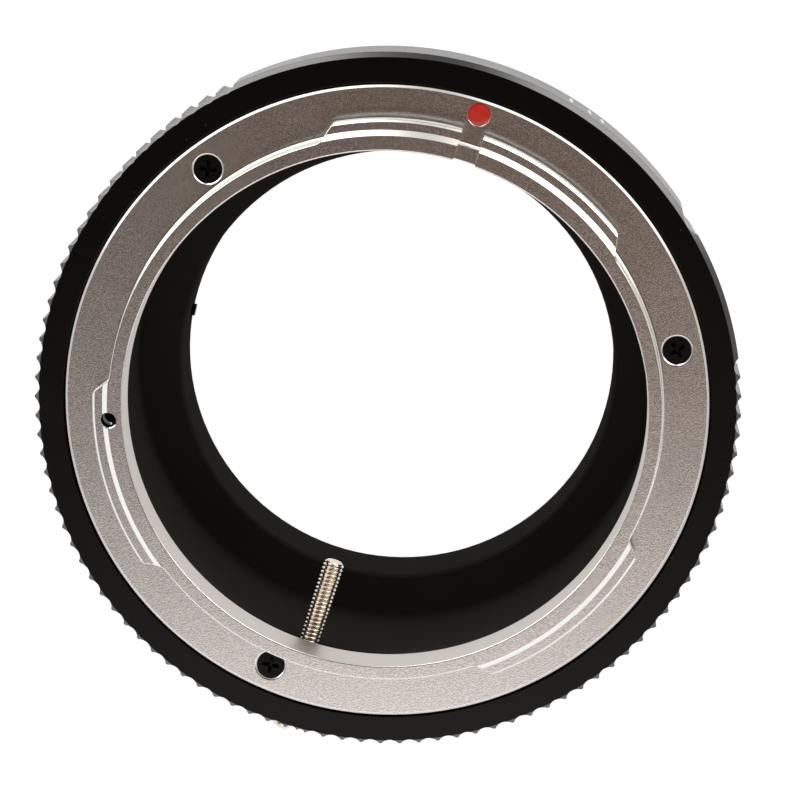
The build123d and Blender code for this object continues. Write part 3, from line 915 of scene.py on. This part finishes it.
def screw_heads(angles, distance, face_z, direction, length):
    """Countersunk screws at the angles, heads flush below the face; direction is +1 for a face that looks up."""
    sink = COUNTERSINK - HEAD_RADIUS
    cone = COUNTERSINK - SHANK_RADIUS
    rim = 0.06 * MM
    radii = [0, HEAD_RADIUS - rim, HEAD_RADIUS, SHANK_RADIUS, SHANK_RADIUS, 0]
    depths = np.array([sink - 0.02 * MM, sink, sink + rim, cone, length, length])
    shapes = [capped_turn(radii, face_z - direction * depths, on_circle(distance, a)) for a in angles]
    return joined(*shapes)


def cross_recess(settings, middle, turn, face_z, direction):
    """A tapered cross: two crossed bars whose ends slope in towards the bottom, and a deeper middle."""
    sink = COUNTERSINK - HEAD_RADIUS
    depth = 0.55 * MM
    over = 0.1 * MM
    half, arm = settings.recess / 2, settings.arm / 2
    unit = np.array([[-1, -1], [1, -1], [1, 1], [-1, 1]])
    levels = np.array([-over, sink, sink + depth])
    reach = np.array([1.0, 1.0, 0.45])
    width = np.array([1.0, 1.0, 0.7])
    shapes = []
    for bar in (0.0, 90.0):
        angle = radians(turn + bar)
        axes = np.array([[np.cos(angle), np.sin(angle)], [-np.sin(angle), np.cos(angle)]])
        corners = unit[None] * np.stack([half * reach, arm * width], -1)[:, None, :]
        plan = corners @ axes + np.array(middle)
        heights = np.broadcast_to((face_z - direction * levels)[:, None], plan.shape[:2])
        points = np.concatenate([plan, heights[..., None]], -1).transpose(1, 0, 2)
        faces = grid_faces(4, 3, True, False)
        caps = np.array([[0, 3, 6, 9], [2, 5, 8, 11]])
        shapes.append((points, np.concatenate([faces, caps])))
    return shapes


def recessed_screws(settings, name, angles, distance, face_z, direction, length, turns):
    """Screws with a cross recess cut in every head."""
    piece = new_piece(name, *screw_heads(angles, distance, face_z, direction, length))
    for bar in (0, 1):
        shapes = [
            cross_recess(settings, on_circle(distance, a), t, face_z, direction)[bar] for a, t in zip(angles, turns)]
        cut(piece, new_piece(name + "_recess", *joined(*shapes)))
    shade(piece, radians(30))
    return piece


class ADAPTER_OT_screws(bpy.types.Operator):
    """Make the countersunk screws of both sides and the bayonet's stop screw"""

    bl_idname = "adapter.screws"
    bl_label = "Screws"

    def execute(self, context):
        settings = context.scene.adapter_screws
        black = black_oxide_and_hole_shade(settings)
        lens = recessed_screws(
            settings, "lens_side_screws", LENS_SCREWS, LENS_SCREW_DISTANCE, FLANGE_FRONT_Z, 1.0,
            FLANGE_FRONT_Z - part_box("lens_mount_screws")[0].z, (47.0, 8.6, 6.0))
        settle(lens, "barrel", "black_screw", (black,), ("lens_mount_screws",))
        camera = recessed_screws(
            settings, "camera_side_screws", CAMERA_SCREWS, CAMERA_SCREW_DISTANCE, CAMERA_SEAT_Z, -1.0,
            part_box("camera_mount_screws")[1].z - CAMERA_SEAT_Z, (12.0, 40.0, 63.0, 85.0))
        settle(camera, "barrel", "steel_screw", (bright_steel(settings),), ("camera_mount_screws",))
        dress("bayonet_stop_screw", black)
        return {"FINISHED"}


# Index dots


class ADAPTER_OT_index_dots(bpy.types.Operator):
    """Make the enamel index dots"""

    bl_idname = "adapter.index_dots"
    bl_label = "Index dots"

    def execute(self, context):
        settings = context.scene.adapter_dots
        share = np.linspace(0, 1, 9)
        radii = np.concatenate([DOT_RADIUS * share, [DOT_RADIUS, 0]])
        dome = FLANGE_FRONT_Z - 0.02 * MM - 0.06 * MM * share ** 4
        heights = np.concatenate([dome, [FLANGE_FRONT_Z - DOT_DEPTH] * 2])
        lens = new_piece("lens_side_dot", *capped_turn(radii, heights, on_circle(DOT_DISTANCE, 90)))
        shade(lens, radians(50))
        settle(lens, "barrel", "red_enamel", (enamel("red_enamel", settings.lens_colour),), ("lens_index_dot",))
        dress("camera_index_dot", enamel("white_enamel", settings.camera_colour))
        return {"FINISHED"}


# Barrel and bayonet


class ADAPTER_OT_body(bpy.types.Operator):
    """Finish the barrel and the camera bayonet"""

    bl_idname = "adapter.body"
    bl_label = "Barrel and bayonet"

    def execute(self, context):
        barrel = context.scene.adapter_barrel
        dress("main_barrel", barrel_black(barrel))
        dress("camera_bayonet", bayonet_finish(context.scene.adapter_chrome, barrel))
        return {"FINISHED"}


# Stage

WINDOW_AZIMUTH = radians(289)


def floor_white():
    """Pale floor that keeps its own brightness, so that it reads as a plain white sweep, brighter far out."""
    paint = Paint(bpy.data.materials.new("floor_white"))
    place = paint.place()
    x, y, z = paint.axes(place)
    fine = paint.noise(place, 60 * MM, 2.0)
    near = paint.mix(fine, (1.0, 1.0, 1.0, 1.0), (0.985, 0.985, 0.985, 1.0))
    glow = paint.mix(((x * x + y * y) ** 0.5).rise(80 * MM, 300 * MM), near, (1.25, 1.24, 1.22, 1.0))
    return paint.surface(
        Base_Color=(0.06, 0.06, 0.06, 1.0), Roughness=0.9, Emission_Color=glow, Emission_Strength=1.02)


def studio_world(settings):
    """Light by direction: a white sweep round the horizon, two strip lights on the camera's side that are strongest
    near the floor, a dark room above and a large soft window on the far side."""
    world = bpy.data.worlds.new("studio")
    bpy.context.scene.world = world
    paint = Paint(world)
    x, y, z = paint.axes(paint.add("ShaderNodeTexCoord", output="Generated"))
    turn = x.maths("ARCTAN2", y, x)
    away = x * cos(WINDOW_AZIMUTH) + y * sin(WINDOW_AZIMUTH)
    room = paint.mix(x.rise(-0.2, 0.2), list(settings.dark), list(settings.warm))
    high = paint.mix(away.rise(0.2, 0.45), room, list(settings.window))
    raised = z.rise(sin(radians(8)), sin(radians(16)))
    sweep = paint.mix(raised.maths("MAXIMUM", raised, y.rise(-0.3, 0.4)), list(settings.horizon), list(settings.sweep))
    light = paint.mix(z.rise(sin(radians(36)), sin(radians(50))), sweep, high)
    fill = turn.band(radians(38), radians(91), radians(12)) + turn.band(radians(109), radians(181), radians(12))
    light = paint.mix(fill * (1.0 - z.rise(sin(radians(34)), sin(radians(46)))), light, list(settings.fill))
    strips = turn.band(radians(40), radians(84), radians(12)) + turn.band(radians(118), radians(181), radians(12))
    light = paint.mix(strips * (1.0 - z.rise(sin(radians(10)), sin(radians(16)))), light, list(settings.strips))
    paint.add("ShaderNodeOutputWorld", {"Surface": paint.add(
        "ShaderNodeBackground", {"Color": light, "Strength": 1.0})})


def camera_axes(settings):
    """Right, up and back of the camera from azimuth, elevation and roll."""
    a, e, r = settings.azimuth, settings.elevation, settings.roll
    back = Vector((cos(e) * cos(a), cos(e) * sin(a), sin(e)))
    level = Vector((-sin(a), cos(a), 0.0))
    rise = back.cross(level)
    return cos(r) * level + sin(r) * rise, -sin(r) * level + cos(r) * rise, back


class ADAPTER_OT_stage(bpy.types.Operator):
    """Set the floor, the light and the camera"""

    bl_idname = "adapter.stage"
    bl_label = "Stage"

    def execute(self, context):
        settings = context.scene.adapter_stage
        scene = context.scene
        side = 3.0
        corners = np.array([(-side, -side, 0), (side, -side, 0), (side, side, 0), (-side, side, 0)])
        floor = new_piece("floor", corners, np.array([[0, 1, 2, 3]]))
        floor.data.materials.append(floor_white())
        right, up, back = camera_axes(settings)
        aim = Vector(settings.aim)
        camera = bpy.data.objects.new("camera", bpy.data.cameras.new("camera"))
        camera.data.lens = settings.focal
        camera.data.sensor_width = 36.0
        camera.data.clip_start = 0.01
        camera.matrix_world = Matrix.Translation(aim + settings.distance * back) @ Matrix(
            (right, up, back)).transposed().to_4x4()
        scene.collection.objects.link(camera)
        scene.camera = camera
        studio_world(settings)
        scene.view_settings.view_transform = "Standard"
        return {"FINISHED"}


class ADAPTER_PT_panel(bpy.types.Panel):
    """The adapter's pieces and their settings"""

    bl_idname = "ADAPTER_PT_panel"
    bl_label = "Lens mount adapter"
    bl_space_type = "VIEW_3D"
    bl_region_type = "UI"
    bl_category = "Adapter"

    def draw(self, context):
        for operator, group in STEPS:
            box = self.layout.box()
            box.operator(operator.bl_idname)
            settings = getattr(context.scene, group)
            for name in settings.bl_rna.properties.keys():
                if name not in ("rna_type", "name"):
                    box.prop(settings, name)


GROUPS = {
    "adapter_chrome": ChromeSettings,
    "adapter_ring": RingSettings,
    "adapter_stud": StudSettings,
    "adapter_screws": ScrewSettings,
    "adapter_dots": DotSettings,
    "adapter_barrel": BarrelSettings,
    "adapter_stage": StageSettings,
}
STEPS = (
    (ADAPTER_OT_lens_side, "adapter_chrome"),
    (ADAPTER_OT_turning_ring, "adapter_ring"),
    (ADAPTER_OT_stud, "adapter_stud"),
    (ADAPTER_OT_screws, "adapter_screws"),
    (ADAPTER_OT_index_dots, "adapter_dots"),
    (ADAPTER_OT_body, "adapter_barrel"),
    (ADAPTER_OT_stage, "adapter_stage"),
)


def register():
    for name, group in GROUPS.items():
        bpy.utils.register_class(group)
        setattr(bpy.types.Scene, name, bpy.props.PointerProperty(type=group))
    for operator, _ in STEPS:
        bpy.utils.register_class(operator)
    bpy.utils.register_class(ADAPTER_PT_panel)


def unregister():
    bpy.utils.unregister_class(ADAPTER_PT_panel)
    for operator, _ in reversed(STEPS):
        bpy.utils.unregister_class(operator)
    for name, group in reversed(GROUPS.items()):
        delattr(bpy.types.Scene, name)
        bpy.utils.unregister_class(group)


def main():
    """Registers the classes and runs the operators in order."""
    register()
    for operator, _ in STEPS:
        group, name = operator.bl_idname.split(".")
        getattr(getattr(bpy.ops, group), name)()


if __name__ == "__main__":
    main()
